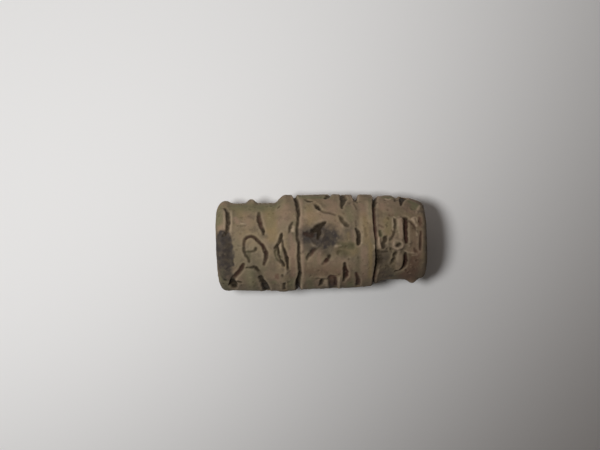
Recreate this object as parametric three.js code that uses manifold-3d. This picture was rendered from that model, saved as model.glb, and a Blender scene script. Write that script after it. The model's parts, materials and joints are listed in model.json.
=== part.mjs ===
// A fired-clay cylinder seal, lying on its side. One roll of clay, pierced lengthwise for a cord,
// with a collar and two raised rings that part it into three carved registers.
// Millimetres, +Z up. X runs along the roll, and the origin is under its middle, on the rest flat.
// Round the roll, angles are in degrees from the top: +90 faces +Y, -90 faces -Y, 180 is the underside.
import * as THREE from "three";
import { mergeVertices } from "three/addons/utils/BufferGeometryUtils.js";
import Module from "manifold-3d";

const wasm = await Module();
wasm.setup();

// Driving dimensions
const LENGTH = 60;
const END = LENGTH / 2;
const HOLE_RADIUS = 3.5; // the cord hole, end to end
const REST_HEIGHT = 13.45; // from the hole's axis down to the rest flat

// How finely the roll is divided
const AROUND = 60;
const CROWD_AT_TOP = 0.34; // moves the divisions towards the carved top side
const ROW_STEP = 1.8;
const HOLE_SIDES = 24;
const GOUGE_SIDES = 4;
const GOUGE_LIFT = 0.5; // how far over the clay its widest part runs, as a share of the depth
const GOUGE_END = 0.4; // how deep and wide it is at the ends, as a share of the middle
const GOUGE_STEP = 2;

// The roll's outline from end to end: distance along X, and radius.
const OUTLINE = [
  [-END, 9.0],
  [-29.7, 10.9],
  [-29.1, 12.1],
  [-28.2, 12.8], // collar
  [-26.8, 12.9],
  [-25.8, 12.55],
  [-20, 12.75], // first register
  [-13.4, 12.75],
  [-12.2, 13.1],
  [-10.6, 13.8],
  [-8.8, 13.85], // first ring
  [-7.4, 13.75],
  [-6.9, 13.2],
  [-6.4, 12.3], // groove beside it
  [-5.9, 13.2],
  [-5.2, 13.7],
  [-2, 13.7], // middle register
  [8, 13.55],
  [10.2, 13.3],
  [11.2, 13.4], // second ring
  [14.2, 13.3],
  [14.9, 12.9],
  [15.5, 11.6], // groove beside it
  [16.2, 12.0],
  [17.2, 12.25],
  [21, 12.15], // last register, which tapers
  [26, 11.8],
  [28.6, 11.3],
  [29.5, 10.6],
  [END, 9.0],
];

// The hand-rolled clay wanders sideways from the hole's axis: distance along X, and shift along Y.
const WANDER = [
  [-END, -0.2],
  [-27.4, -0.2],
  [-23.3, -0.55],
  [-15, -0.75],
  [-12.5, -0.6],
  [-9.7, 0.2],
  [-3, 0.3],
  [4, 0.25],
  [10, 0.1],
  [14, 0.2],
  [19, 0.9],
  [23, 0.65],
  [27, 0.1],
  [END, -0.1],
];

// Clay raised above the roll, or pressed below it: the place [X, angle], the half sizes along X
// and around in millimetres, and the height, which is less than 0 for a hollow.
const MOUNDS = [
  { at: [-27.9, 34], half: [1.9, 5.0], height: 0.35 }, // collar's proud pad
  { at: [-27.2, -13], half: [2.2, 6.2], height: -0.3 }, // where its skin has gone
  { at: [-27.3, 88], half: [1.6, 3.0], height: 0.3 },
  { at: [-19.8, 88], half: [1.4, 3.0], height: 1.25 }, // knob on the far side
  { at: [-19.1, 3], half: [2.0, 2.0], height: 0.25 }, // inside the curl
  { at: [-19.2, -45], half: [2.4, 3.0], height: 0.3 }, // under the arch
  { at: [2.8, 5], half: [2.6, 2.6], height: -0.5 }, // thumb dimple
  { at: [-1.0, 15], half: [1.8, 2.4], height: -0.9 }, // deep socket beside it
  { at: [-2.3, -3], half: [1.7, 0.9], height: 0.3 },
  { at: [7.1, 1], half: [2.2, 5.0], height: 0.25 }, // low panel
  { at: [3.2, -59], half: [1.6, 2.8], height: -0.6 }, // recess low in the register
  { at: [10.2, 86], half: [1.3, 4.4], height: -1.3 }, // break in the far edge
  { at: [10.1, -56], half: [1.1, 3.4], height: -0.9 }, // break in the near edge
  { at: [22.3, 13], half: [1.6, 3.6], height: 0.95 }, // figure's trunk
  { at: [21.3, -9], half: [2.3, 2.2], height: 0.95 }, // and its ringed eye
  { at: [17.3, -6], half: [1.5, 2.1], height: 0.6 }, // smaller ring beside it
  { at: [21.7, -31], half: [1.7, 3.2], height: 0.9 }, // hanging tongue
  { at: [19.5, -33], half: [0.8, 1.4], height: 0.4 },
  { at: [25.0, -15], half: [2.4, 0.9], height: 0.5 }, // ridge to the end
  { at: [26.2, 23], half: [1.6, 2.8], height: 0.55 }, // flaked patch
  { at: [26.8, 45], half: [1.8, 1.6], height: 0.35 },
  { at: [25.6, -84], half: [2.0, 3.6], height: 1.5 }, // knob on the near side
  { at: [-20, 150], half: [3.2, 2.4], height: 0.6 }, // plainer work round the back
  { at: [-18, -128], half: [4.2, 1.6], height: 0.6 },
  { at: [3, 132], half: [4.6, 2.2], height: 0.5 },
  { at: [2, -118], half: [2.4, 2.6], height: -0.7 },
  { at: [22, 120], half: [3.6, 1.8], height: 0.8 },
  { at: [23, -126], half: [3.8, 1.8], height: 0.8 },
];

// Strokes of a pointed tool: the path as [X, angle] points, and the width and depth of the cut.
const STROKES = [
  { path: [[-27.3, 57], [-26.1, 42], [-26.0, 24], [-27.5, 13]], width: 1.0, depth: 0.7 }, // collar
  { path: [[-17.6, 53], [-17.4, 37], [-16.3, 14]], width: 1.1, depth: 0.7 },
  {
    // the curl, from its inner end
    path: [[-18.3, -1], [-19.7, -6], [-21.5, -5], [-22.1, 4], [-21.2, 13], [-19.7, 15],
      [-17.6, 8], [-16.0, -2], [-16.0, -13], [-16.8, -24]],
    width: 1.0,
    depth: 0.7,
  },
  { path: [[-21.6, -6], [-20.8, -13], [-20.6, -18]], width: 0.8, depth: 0.5 }, // its tail
  { path: [[-21.9, -21], [-23.9, -32], [-25.6, -45], [-26.4, -70]], width: 1.5, depth: 1.0 },
  { path: [[-21.3, -27], [-19.0, -26], [-17.8, -37], [-16.7, -56], [-15.8, -84]], width: 1.5, depth: 1.0 },
  { path: [[-11.1, 12], [-12.1, 5], [-13.4, -5]], width: 1.0, depth: 0.7 }, // leaf, left side
  { path: [[-13.2, -7], [-12.2, -16], [-10.8, -29]], width: 0.9, depth: 0.7 },
  { path: [[-11.5, -2], [-10.4, -15], [-9.9, -31]], width: 1.0, depth: 0.7 }, // and its right
  { path: [[-7.9, 25], [-8.8, 17], [-8.8, 10]], width: 0.7, depth: 0.4 }, // nick in the ring
  { path: [[-1.1, 51], [0.3, 40], [3.8, 33]], width: 1.1, depth: 0.7 }, // comma
  { path: [[6.4, 90], [6.4, 61], [6.1, 45]], width: 1.8, depth: 1.0 },
  { path: [[2.9, 98], [2.9, 76]], width: 1.4, depth: 1.0 },
  { path: [[5.9, 32], [6.5, 25], [7.4, 19]], width: 1.1, depth: 0.7 },
  { path: [[1.0, 24], [-0.9, 18], [-2.0, 13], [-1.1, 4]], width: 1.4, depth: 0.9 }, // socket's edge
  { path: [[-1.1, -7], [-3.1, -8], [-4.3, -16], [-4.2, -21]], width: 1.1, depth: 0.6 }, // prongs
  { path: [[9.2, 20], [10.1, 9], [9.7, -4]], width: 1.0, depth: 0.8 }, // upright slot
  { path: [[2.1, -18], [0.6, -25]], width: 1.0, depth: 0.6 },
  { path: [[5.8, -27], [6.6, -41], [5.9, -58]], width: 1.4, depth: 1.0 },
  { path: [[0.5, -50], [-1.2, -68]], width: 1.0, depth: 0.7 },
  { path: [[24.0, 88], [23.1, 65], [22.6, 45]], width: 1.9, depth: 1.0 },
  { path: [[20.9, 26], [20.8, 12], [19.1, -3]], width: 0.8, depth: 0.7 }, // trunk, left side
  { path: [[24.1, 27], [23.6, 8], [23.6, -8]], width: 1.3, depth: 1.1 }, // trunk, right side
  { path: [[22.1, -5], [20.9, -10]], width: 1.0, depth: 0.9 }, // eye
  { path: [[17.6, -2], [17.4, -10]], width: 0.9, depth: 0.8 },
  { path: [[20.4, -19], [20.3, -27], [19.3, -36]], width: 0.7, depth: 0.6 },
  { path: [[23.3, -18], [23.3, -34], [22.2, -46], [20.4, -54]], width: 1.1, depth: 0.9 }, // hook
  { path: [[27.7, 24], [27.6, -2]], width: 0.6, depth: 0.5 },
  { path: [[-23, 118], [-20, 132], [-15, 122]], width: 1.1, depth: 0.7 }, // plainer, round the back
  { path: [[-22, -100], [-18, -110], [-14, -98]], width: 1.2, depth: 0.8 },
  { path: [[-2, 100], [2, 112], [7, 102]], width: 1.1, depth: 0.7 },
  { path: [[7, -92], [6.4, -130]], width: 1.2, depth: 0.8 },
  { path: [[20, 100], [24, 104], [27, 96]], width: 1.0, depth: 0.7 },
];

const radians = THREE.MathUtils.degToRad;

// Value at x of a line through [x, value] points.
function along(points, x) {
  const i = Math.max(1, points.findIndex(([at]) => at >= x));
  const [[x0, v0], [x1, v1]] = [points[i - 1], points[i]];
  return THREE.MathUtils.mapLinear(x, x0, x1, v0, v1);
}

// Height of all the mounds together at one place on the roll.
function mounds(x, angle) {
  let sum = 0;
  for (const { at, half, height } of MOUNDS) {
    const turn = THREE.MathUtils.euclideanModulo(angle - at[1] + 180, 360) - 180;
    const aside = radians(turn) * along(OUTLINE, at[0]);
    const share = Math.hypot((x - at[0]) / half[0], aside / half[1]);
    if (share < 1.5) sum += height * (0.5 + 0.5 * Math.cos((share / 1.5) * Math.PI));
  }
  return sum;
}

// A point of the clay's surface, or `above` it, with the hole's axis at y = z = 0.
function onClay(x, angle, above = 0) {
  const radius = along(OUTLINE, x) + mounds(x, angle) + above;
  const a = radians(angle);
  return new THREE.Vector3(x, along(WANDER, x) + radius * Math.sin(a), radius * Math.cos(a));
}

// A geometry as a manifold-3d solid, and the way back.
function solidOf(geometry) {
  const bare = geometry.clone();
  bare.deleteAttribute("normal");
  bare.deleteAttribute("uv");
  const { index, attributes } = mergeVertices(bare, 1e-4);
  return new wasm.Manifold(
    new wasm.Mesh({
      numProp: 3,
      vertProperties: attributes.position.array,
      triVerts: new Uint32Array(index.array),
    }),
  );
}

function geometryOf(solid) {
  const { vertProperties, triVerts } = solid.getMesh();
  return new THREE.BufferGeometry()
    .setAttribute("position", new THREE.BufferAttribute(vertProperties, 3))
    .setIndex(new THREE.BufferAttribute(triVerts, 1));
}

// The roll: a lathe-turned outline whose points are then moved to the clay's own surface.
function roll() {
  const rows = [new THREE.Vector2(0, -END)];
  OUTLINE.forEach(([x, radius], i) => {
    if (i > 0) {
      const [x0] = OUTLINE[i - 1];
      const steps = Math.ceil((x - x0) / ROW_STEP);
      for (let k = 1; k < steps; k += 1) {
        const between = THREE.MathUtils.lerp(x0, x, k / steps);
        rows.push(new THREE.Vector2(along(OUTLINE, between), between));
      }
    }
    rows.push(new THREE.Vector2(radius, x));
  });
  rows.push(new THREE.Vector2(0, END));

  const blank = new THREE.LatheGeometry(rows, AROUND);
  const place = blank.attributes.position;
  for (let i = 0; i < place.count; i += 1) {
    const x = place.getY(i);
    const radius = Math.hypot(place.getX(i), place.getZ(i));
    if (radius < 1e-6) {
      place.setXYZ(i, x, 0, 0);
    } else {
      const even = -Math.atan2(place.getX(i), place.getZ(i));
      const angle = even - CROWD_AT_TOP * Math.sin(even);
      place.setXYZ(i, ...onClay(x, THREE.MathUtils.radToDeg(angle)).toArray());
    }
  }
  return solidOf(blank);
}

// One stroke's cutter: a four-sided bar laid along the path, its lower edge sunk to the stroke's
// depth and its widest part clear above the clay, so that it leaves a clean V. It narrows at the ends.
function gouge({ path, width, depth }) {
  const line = new THREE.CatmullRomCurve3(path.map(([x, angle]) => new THREE.Vector3(x, angle, 0)));
  const places = path.map(([x, angle]) => onClay(x, angle));
  const length = places.slice(1).reduce((sum, place, i) => sum + place.distanceTo(places[i]), 0);
  const steps = Math.max(2, Math.round(length / GOUGE_STEP));
  const bar = new THREE.CylinderGeometry(1, 1, 1, GOUGE_SIDES, steps);
  const corner = bar.attributes.position;
  for (let i = 0; i < corner.count; i += 1) {
    const t = corner.getY(i) + 0.5;
    const { x, y: angle } = line.getPoint(t);
    const onward = line.getTangent(t).multiplyScalar(0.01);
    const out = new THREE.Vector3(0, Math.sin(radians(angle)), Math.cos(radians(angle)));
    const here = onClay(x, angle);
    const ahead = onClay(x + onward.x, angle + onward.y).sub(here);
    const aside = ahead.cross(out).normalize();
    const share = GOUGE_END + (1 - GOUGE_END) * Math.sin(Math.PI * t);
    const reach = (1 + GOUGE_LIFT) * share;
    here.addScaledVector(aside, (corner.getX(i) * reach * width) / 2);
    here.addScaledVector(out, (GOUGE_LIFT * share + corner.getZ(i) * reach) * depth);
    corner.setXYZ(i, here.x, here.y, here.z);
  }
  return solidOf(bar);
}

// The cord hole, and the slab under the roll that leaves the rest flat.
function hole() {
  const drill = new THREE.CylinderGeometry(HOLE_RADIUS, HOLE_RADIUS, LENGTH + 4, HOLE_SIDES);
  return solidOf(drill.rotateZ(Math.PI / 2));
}

function slab() {
  const board = new THREE.BoxGeometry(LENGTH + 4, LENGTH, 10);
  return solidOf(board.translate(0, 0, -REST_HEIGHT - 5));
}

function seal() {
  let clay = roll();
  for (const stroke of STROKES) clay = clay.subtract(gouge(stroke));
  const geometry = geometryOf(clay.subtract(hole()).subtract(slab()));
  geometry.computeBoundingBox();
  const { min, max } = geometry.boundingBox;
  geometry.translate(-(min.x + max.x) / 2, -(min.y + max.y) / 2, -min.z);
  const fired = new THREE.MeshStandardMaterial({ color: 0x7b6d58, roughness: 0.95, metalness: 0 });
  const mesh = new THREE.Mesh(geometry, fired);
  mesh.name = "seal";
  return mesh;
}

const part = new THREE.Group();
part.add(seal());

export default part;
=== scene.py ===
# %% [markdown]
# # A clay cylinder seal
#
# The object is one roll of fired clay, about as long as a thumb. It was rolled by hand, pierced from
# end to end for a cord, banded with a collar and two raised rings, and then marked with a pointed tool
# while the clay was damp. Rolled over a soft surface, it left a strip of pattern behind.
#
# In this lesson the whole roll is one mesh. It starts as a plain sheet of rows and columns wrapped
# round the cord hole, and each step changes how far the clay stands out from that sheet, as the maker's
# hands and tools did.

# %% Load the frame
import json
import math
import bpy
import numpy as np
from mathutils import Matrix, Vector, noise


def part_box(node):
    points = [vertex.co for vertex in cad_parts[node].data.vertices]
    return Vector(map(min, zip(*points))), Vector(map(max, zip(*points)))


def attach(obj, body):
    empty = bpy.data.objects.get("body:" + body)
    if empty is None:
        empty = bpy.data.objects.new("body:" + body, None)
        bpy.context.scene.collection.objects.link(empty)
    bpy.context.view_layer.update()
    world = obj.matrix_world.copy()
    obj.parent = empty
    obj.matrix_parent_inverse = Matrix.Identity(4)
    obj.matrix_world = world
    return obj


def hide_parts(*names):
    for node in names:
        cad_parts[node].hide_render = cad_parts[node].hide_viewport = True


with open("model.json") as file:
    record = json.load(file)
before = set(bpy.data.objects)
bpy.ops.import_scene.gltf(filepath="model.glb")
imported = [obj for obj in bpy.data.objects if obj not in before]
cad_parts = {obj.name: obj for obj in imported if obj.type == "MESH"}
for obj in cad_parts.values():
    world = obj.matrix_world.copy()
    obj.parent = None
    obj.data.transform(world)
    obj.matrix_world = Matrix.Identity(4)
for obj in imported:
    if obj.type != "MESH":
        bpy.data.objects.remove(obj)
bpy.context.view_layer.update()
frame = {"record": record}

low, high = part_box("seal")
DRAWN_LENGTH = 60.0
MM = (high.x - low.x) / DRAWN_LENGTH  # metres in one millimetre of the drawing

# The cord hole is stated as a box, and its middle is the line that the roll was turned on.
hole_box = frame["record"]["physics"]["openings"][0]["box_m"]
hole_axis = (Vector(hole_box[0]) + Vector(hole_box[1])) / 2
print("roll is", round((high.x - low.x) * 1000, 1), "mm long; hole axis at", tuple(hole_axis))

# %% [markdown]
# ## Looking straight down
#
# Carving on a small thing that lies on a table is best drawn from right above it. A long lens held well
# away keeps the two ends of the roll from looking bent, so the camera stands high over the paper and
# its lens is chosen to take in the width that we want. The roll lies a little askew in the picture:
# turning the camera about its own line of sight does that, and the clay itself stays square to the
# axes.

# %% Camera
CAMERA_HEIGHT = 400 * MM
PICTURE_WIDTH = 174.4 * MM  # what the lens takes in at the height of the roll's middle
ASKEW = math.radians(1.9)
CAMERA_ASIDE = Vector((-5.9, 5.2, 0)) * MM

camera_data = bpy.data.cameras.new("over_the_paper")
camera = bpy.data.objects.new("over_the_paper", camera_data)
bpy.context.scene.collection.objects.link(camera)
camera.location = Vector((0, 0, CAMERA_HEIGHT)) + CAMERA_ASIDE
camera.rotation_euler = (0, 0, -ASKEW)
drop = CAMERA_HEIGHT - hole_axis.z
camera_data.lens = camera_data.sensor_width * drop / PICTURE_WIDTH
camera_data.clip_start = 10 * MM
bpy.context.scene.camera = camera
print("lens", round(camera_data.lens, 1), "mm,", round(drop * 1000), "mm above the roll")

# %% [markdown]
# ## Light and paper
#
# Shallow carving only shows if more light comes from one side. One lamp stands high on the left, and its
# radius sets how soft the shadow's edge is. It is a spot with a wide soft rim, aimed past the top left
# corner, so that the paper fades away to the right as it does beside a window. The rest of the room is a
# weak warm light, stronger low down on the window side, where it reaches the flank of the roll that a
# high lamp misses. The paper is one pale sheet, big enough that from above its edge stays out of sight.

# %% Light
LAMP_PLACE = Vector((-104, 11, 350)) * MM
LAMP_AIM = Vector((-156, 136, 0)) * MM
LAMP_RADIUS = 38 * MM
LAMP_POWER = 4.15
LAMP_CONE, LAMP_RIM = 102, 0.78  # degrees across, and the share of that which is the soft rim
LAMP_COLOUR = (1.0, 1.0, 0.99)
BRIGHT_SIDE = (-0.40, 0.80, -0.45)  # low on the far left, where a window would be
ROOM_DARK, ROOM_BRIGHT = 0.03, 0.62
DARK_AT = -0.4  # the cosine, to the bright side, where the room is at its darkest
ROOM_COLOUR = (1.0, 0.90, 0.83)

lamp_data = bpy.data.lights.new("window", "SPOT")
lamp_data.energy = LAMP_POWER
lamp_data.shadow_soft_size = LAMP_RADIUS
lamp_data.spot_size = math.radians(LAMP_CONE)
lamp_data.spot_blend = LAMP_RIM
lamp_data.color = LAMP_COLOUR
lamp = bpy.data.objects.new("window", lamp_data)
bpy.context.scene.collection.objects.link(lamp)
lamp.location = LAMP_PLACE
lamp.rotation_euler = (LAMP_AIM - LAMP_PLACE).to_track_quat("-Z", "Y").to_euler()

room = bpy.data.worlds.new("room")
room.use_nodes = True
room_nodes = room.node_tree
sky = room_nodes.nodes["Background"]
sky.inputs["Color"].default_value = (*ROOM_COLOUR, 1)
looking = room_nodes.nodes.new("ShaderNodeTexCoord")
toward = room_nodes.nodes.new("ShaderNodeVectorMath")
toward.operation = "DOT_PRODUCT"
toward.inputs[1].default_value = BRIGHT_SIDE
shade = room_nodes.nodes.new("ShaderNodeMapRange")
shade.inputs["From Min"].default_value = DARK_AT
shade.inputs["To Min"].default_value = ROOM_DARK
shade.inputs["To Max"].default_value = ROOM_BRIGHT
room_nodes.links.new(looking.outputs["Generated"], toward.inputs[0])
room_nodes.links.new(toward.outputs["Value"], shade.inputs["Value"])
room_nodes.links.new(shade.outputs["Result"], sky.inputs["Strength"])
bpy.context.scene.world = room
bpy.context.scene.view_settings.view_transform = "Standard"
print("lamp", lamp_data.energy, "W,", round(LAMP_PLACE.length * 1000), "mm away")

# %% Paper
SHEET_HALF = 1500 * MM
PAPER_WHITE = (0.79, 0.79, 0.795)
corners = [(-1, -1), (1, -1), (1, 1), (-1, 1)]
paper_mesh = bpy.data.meshes.new("paper")
paper_mesh.from_pydata([(x * SHEET_HALF, y * SHEET_HALF, 0) for x, y in corners], [], [(0, 1, 2, 3)])
paper = bpy.data.objects.new("paper", paper_mesh)
bpy.context.scene.collection.objects.link(paper)

paper_finish = bpy.data.materials.new("paper")
paper_finish.use_nodes = True
paper_shader = paper_finish.node_tree.nodes["Principled BSDF"]
paper_shader.inputs["Base Color"].default_value = (*PAPER_WHITE, 1)
paper_shader.inputs["Roughness"].default_value = 0.9
paper_shader.inputs["Specular IOR Level"].default_value = 0.2
paper_mesh.materials.append(paper_finish)
print("paper", round(2 * SHEET_HALF, 2), "m across")

# %% [markdown]
# ## The roll before it is carved
#
# A turned shape is an outline swept round an axis, and this roll is nearly one. Two things tell that it
# was made by hand: the rings are not centred on the hole, and every corner is soft. So the outline gives
# the distance from the axis at each place along it, a second line says how far the clay has wandered
# sideways there, and the corners of the outline are cut off again and again until they are round.
#
# Distances here are in millimetres from the middle of the roll, with the collar at the minus end.

# %% Outline
OUTLINE = [
    (-30.0, 9.0), (-29.8, 10.6), (-29.2, 12.0), (-28.2, 12.8), (-26.8, 12.9), (-25.9, 12.6),  # collar
    (-24.5, 12.6), (-20.0, 12.75), (-14.0, 12.75), (-12.6, 12.9), (-11.4, 13.5),  # first register
    (-10.3, 13.85), (-8.6, 13.85), (-7.0, 13.75),  # first ring
    (-5.6, 13.7), (-2.0, 13.7), (8.0, 13.55), (11.0, 13.4), (14.6, 13.25),  # middle, second ring
    (15.6, 12.7), (16.6, 12.3), (18.0, 12.2), (21.0, 12.15), (25.0, 11.95), (28.0, 11.4),  # last
    (29.2, 10.9), (29.8, 10.1), (30.0, 8.9),
]
WANDER = [(-30, -0.2), (-27.4, -0.2), (-23.3, -0.55), (-15, -0.75), (-12.5, -0.6), (-9.7, 0.2), (-3, 0.3),
          (4, 0.25), (10, 0.1), (14, 0.2), (15.5, 0.4), (19, 0.9), (23, 0.65), (27, 0.1), (30, -0.1)]
HOLE_RADIUS = 3.5
DISH = 0.35  # how far the ends sink round the hole
BARE_HOLE = 12  # half the stretch in the middle of the hole that is left without rows
HOLE_MOUTH = [(-DRAWN_LENGTH / 2 + DISH, 4.3), (-28.9, HOLE_RADIUS), (-BARE_HOLE, HOLE_RADIUS)]


def rounded(points, rounds=3):
    """The open line through the points with its corners cut off, a few times over."""
    line = np.array(points, float)
    for _ in range(rounds):
        a, b = line[:-1], line[1:]
        inner = np.empty((2 * len(a), 2))
        inner[0::2] = 0.75 * a + 0.25 * b
        inner[1::2] = 0.25 * a + 0.75 * b
        line = np.vstack([line[:1], inner, line[-1:]])
    return line


mouth = HOLE_MOUTH[::-1]
whole = mouth + OUTLINE + [(-x, r) for x, r in HOLE_MOUTH]
outline = rounded(whole)
print(len(outline), "points round the outline, from hole to hole")

# %% [markdown]
# ## Rows and columns
#
# The sheet needs small squares where a tool has been and can do with long ones inside the hole. Rows are
# laid along the outline at a spacing that changes with their distance from the axis. Columns go round, a
# little closer on the carved top. The last row joins the first through the hole, so that the surface is
# closed, like a ring, and has no poles.

# %% Rows
ROW_ON_CLAY = 0.212
ROW_ON_END = 0.55
ROW_IN_HOLE = 4.5
COLUMNS = 276
CROWD = 0.2  # how much closer the columns are on top
END_RADIUS = 8.5  # inside this distance from the axis the clay is a flat end or the hole


def spacing(r):
    """How far apart the rows are at one distance from the axis, in millimetres."""
    if r < HOLE_RADIUS + 0.05:  # past the rounding of the mouth
        return ROW_IN_HOLE
    return ROW_ON_END if r < END_RADIUS else ROW_ON_CLAY


steps = np.hypot(*np.diff(outline, axis=0).T)
length_at = np.concatenate([[0], np.cumsum(steps)])
rows_at = [0.0]
while rows_at[-1] < length_at[-1]:
    rows_at.append(rows_at[-1] + spacing(np.interp(rows_at[-1], length_at, outline[:, 1])))
rows_at = np.array(rows_at[:-1])
row_x = np.interp(rows_at, length_at, outline[:, 0])
row_r = np.interp(rows_at, length_at, outline[:, 1])

along_x, along_r = np.gradient(row_x, rows_at), np.gradient(row_r, rows_at)
stretch = np.hypot(along_x, along_r)
row_out = np.stack([-along_r / stretch, along_x / stretch], axis=1)  # outwards, along x and from the axis
on_clay = row_r > END_RADIUS
ROWS = len(row_x)

even = np.linspace(-math.pi, math.pi, COLUMNS, endpoint=False)
column_angle = even - CROWD * np.sin(even)
print(ROWS, "rows by", COLUMNS, "columns:", 2 * ROWS * COLUMNS, "triangles")

# %% [markdown]
# ## Unevenness
#
# Nothing handmade is exactly regular. Blender's noise gives a smooth random number for each point in
# space, the same one every time, so reading it at the points of the roll gives an unevenness that has
# no seam where the sheet meets itself. The size is that of one lump, in millimetres.

# %% Noise over the roll
sheet_x = np.repeat(row_x[:, None], COLUMNS, axis=1)
sheet_angle = np.repeat(column_angle[None, :], ROWS, axis=0)
sheet_y = row_r[:, None] * np.sin(sheet_angle)
sheet_z = row_r[:, None] * np.cos(sheet_angle)
sheet_points = np.stack([sheet_x, sheet_y, sheet_z], axis=-1).reshape(-1, 3)


def unevenness(size, seed=0, octaves=1):
    """Noise from about -1 to 1 at every point of the sheet, with lumps of a size in millimetres."""
    total = np.zeros(len(sheet_points))
    for octave in range(octaves):
        places = sheet_points * (2**octave / size) + 17.3 * seed + 5.1 * octave
        total += np.array([noise.noise(Vector(p)) for p in places]) / 2**octave
    return total.reshape(ROWS, COLUMNS)


NOMINAL_RADIUS = 12.8  # turns an angle into a distance round the roll
WOBBLE = 0.12
line_x = sheet_x + WOBBLE * unevenness(1.3, seed=1)
line_s = sheet_angle * NOMINAL_RADIUS + WOBBLE * unevenness(1.3, seed=2)
print("marks wobble by up to", WOBBLE, "mm")

# %% [markdown]
# ## The maker's moves
#
# Everything on the roll was made in one of a few ways, so each way is a small function. A tool drawn
# through damp clay sinks a trench and pushes up a low lip on both sides: that is `cut`. Clay that was
# left standing, or pressed on, is `stand`. A thumb or a knock that moves a broad patch is `swell`, with
# a height under zero for a hollow. Colour is laid on by `stain` in the same way, because soot and dirt
# follow the marks. Painted shade and a few painted highlights go on with the same stains, and `cut`
# darkens its trench with dirt and painted shade together.
#
# A path is a list of places, each a distance along the roll and an angle in degrees from the top. Where
# cuts cross, the deeper one counts, as in clay, and where stains of one colour meet, the stronger one.

# %% Paths on the clay
clay = {name: np.zeros((ROWS, COLUMNS)) for name in ("swell", "stand", "cut", "lip")}
COLOURS = ("grime_and_shade", "smoke_and_shade", "pale", "red", "green", "pink", "ochre")
stains = {name: np.zeros((ROWS, COLUMNS)) for name in COLOURS}


def drawn(path, step=0.3):
    """A smooth line through the places of a path, as points of x and distance round, in millimetres."""
    places = np.array([(x, math.radians(a) * NOMINAL_RADIUS) for x, a in path], float)
    if len(places) == 1:
        return np.vstack([places, places + (0, 1e-3)])
    ahead = np.vstack([2 * places[0] - places[1], places, 2 * places[-1] - places[-2]])
    line = []
    for p0, p1, p2, p3 in zip(ahead, ahead[1:], ahead[2:], ahead[3:]):
        count = max(2, int(np.hypot(*(p2 - p1)) / step))
        t = np.linspace(0, 1, count, endpoint=False)[:, None]
        bend = (2 * p0 - 5 * p1 + 4 * p2 - p3) * t**2 + (3 * p1 - p0 - 3 * p2 + p3) * t**3
        line.append(p1 + ((p2 - p0) * t + bend) / 2)
    return np.vstack(line + [places[-1:]])


def near(path, reach):
    """The points of the clay within reach of a path, how far off it they are, and how far along."""
    line = drawn(path)
    turn = 2 * math.pi * NOMINAL_RADIUS
    middle = (line[:, 1].min() + line[:, 1].max()) / 2
    around = (line_s - middle + turn / 2) % turn - turn / 2 + middle
    found = (line_x > line[:, 0].min() - reach) & (line_x < line[:, 0].max() + reach)
    found &= (around > line[:, 1].min() - reach) & (around < line[:, 1].max() + reach)
    found &= on_clay[:, None]
    points = np.stack([line_x[found], around[found]], axis=1)[:, None]
    start, leg = line[:-1], np.diff(line, axis=0)
    long = (leg**2).sum(1)
    share = np.clip(((points - start) * leg).sum(2) / long, 0, 1)
    off = np.linalg.norm(points - start - share[..., None] * leg, axis=2)
    nearest = off.argmin(1)
    rows = np.arange(len(nearest))
    run = np.concatenate([[0], np.cumsum(np.sqrt(long))])
    at = run[nearest] + share[rows, nearest] * np.sqrt(long[nearest])
    return found, off[rows, nearest], at / run[-1]


def widths(width, along):
    """Half the width at each share of the way along, from one number or several spaced evenly."""
    given = np.atleast_1d(width)
    return np.interp(along, np.linspace(0, 1, len(given)), given) / 2


def fall(distance, soft):
    """1 well inside an edge, 0 well outside it, and smooth between."""
    t = np.clip(0.5 - distance / soft, 0, 1)
    return t * t * (3 - 2 * t)


def keep_more(field, found, values):
    """Lays values on a sheet, and keeps what is there where it is more."""
    field[found] = np.maximum(field[found], values)


print("clay and stain sheets ready")

# %% The moves
NARROW_IS_SHALLOW = 0.6  # the power of the width that a trench's depth follows
BOWL_FLOOR = 0.6  # how deep a trench is at the foot of its wall, against its middle
LIP_OFF, LIP_WIDTH = 0.35, 0.28  # how far off the trench the pushed-up clay is highest, and its spread
DIRT_AND_SHADE_REACH, DIRT_AND_SHADE_SOFT = 0.95, 0.6  # the share of a trench that holds dirt and painted shade, and how softly it ends
RAGGED = 1 + 0.26 * unevenness(0.9, seed=6, octaves=2)  # how a worn edge wanders
PATCHY = np.clip(0.95 + 0.36 * unevenness(2.2, seed=7, octaves=2), 0.35, 1.15)  # how dirt, painted shade and the other stains come and go


def cut(path, width, depth, grime_and_shade=0.7, wall=0.5, lip=0.04):
    """A trench along a path. It is shallower where it is narrower, and it is darkened inside, for soil left
    in it and as painted shade.
    """
    found, off, along = near(path, np.max(width) / 2 + 1)
    half = widths(width, along) * RAGGED[found]
    sunk = depth * (half / (np.max(width) / 2)) ** NARROW_IS_SHALLOW
    bowl = BOWL_FLOOR + (1 - BOWL_FLOOR) * np.sqrt(np.clip(1 - (off / half) ** 2, 0, 1))
    keep_more(clay["cut"], found, sunk * bowl * fall(off - half, wall))
    keep_more(clay["lip"], found, lip * np.exp(-(((off - half - LIP_OFF) / LIP_WIDTH) ** 2)))
    # The floor of the trench is darkened: dirt, with painted shade.
    keep_more(stains["grime_and_shade"], found, grime_and_shade * PATCHY[found] * fall(off - DIRT_AND_SHADE_REACH * half, DIRT_AND_SHADE_SOFT))


def stand(path, width, height, slope=0.6):
    """Clay that stands above the rest along a path."""
    found, off, along = near(path, np.max(width) / 2 + slope)
    keep_more(clay["stand"], found, height * fall(off - widths(width, along) * RAGGED[found], slope))


def swell(at, half, height):
    """A broad rise, or a hollow if the height is less than 0, with its half sizes along and around."""
    turn = (sheet_angle - math.radians(at[1]) + math.pi) % (2 * math.pi) - math.pi
    share = np.hypot((sheet_x - at[0]) / half[0], turn * NOMINAL_RADIUS / half[1]) / 1.5
    clay["swell"] += height * np.where(share < 1, 0.5 + 0.5 * np.cos(share * math.pi), 0) * on_clay[:, None]


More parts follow.
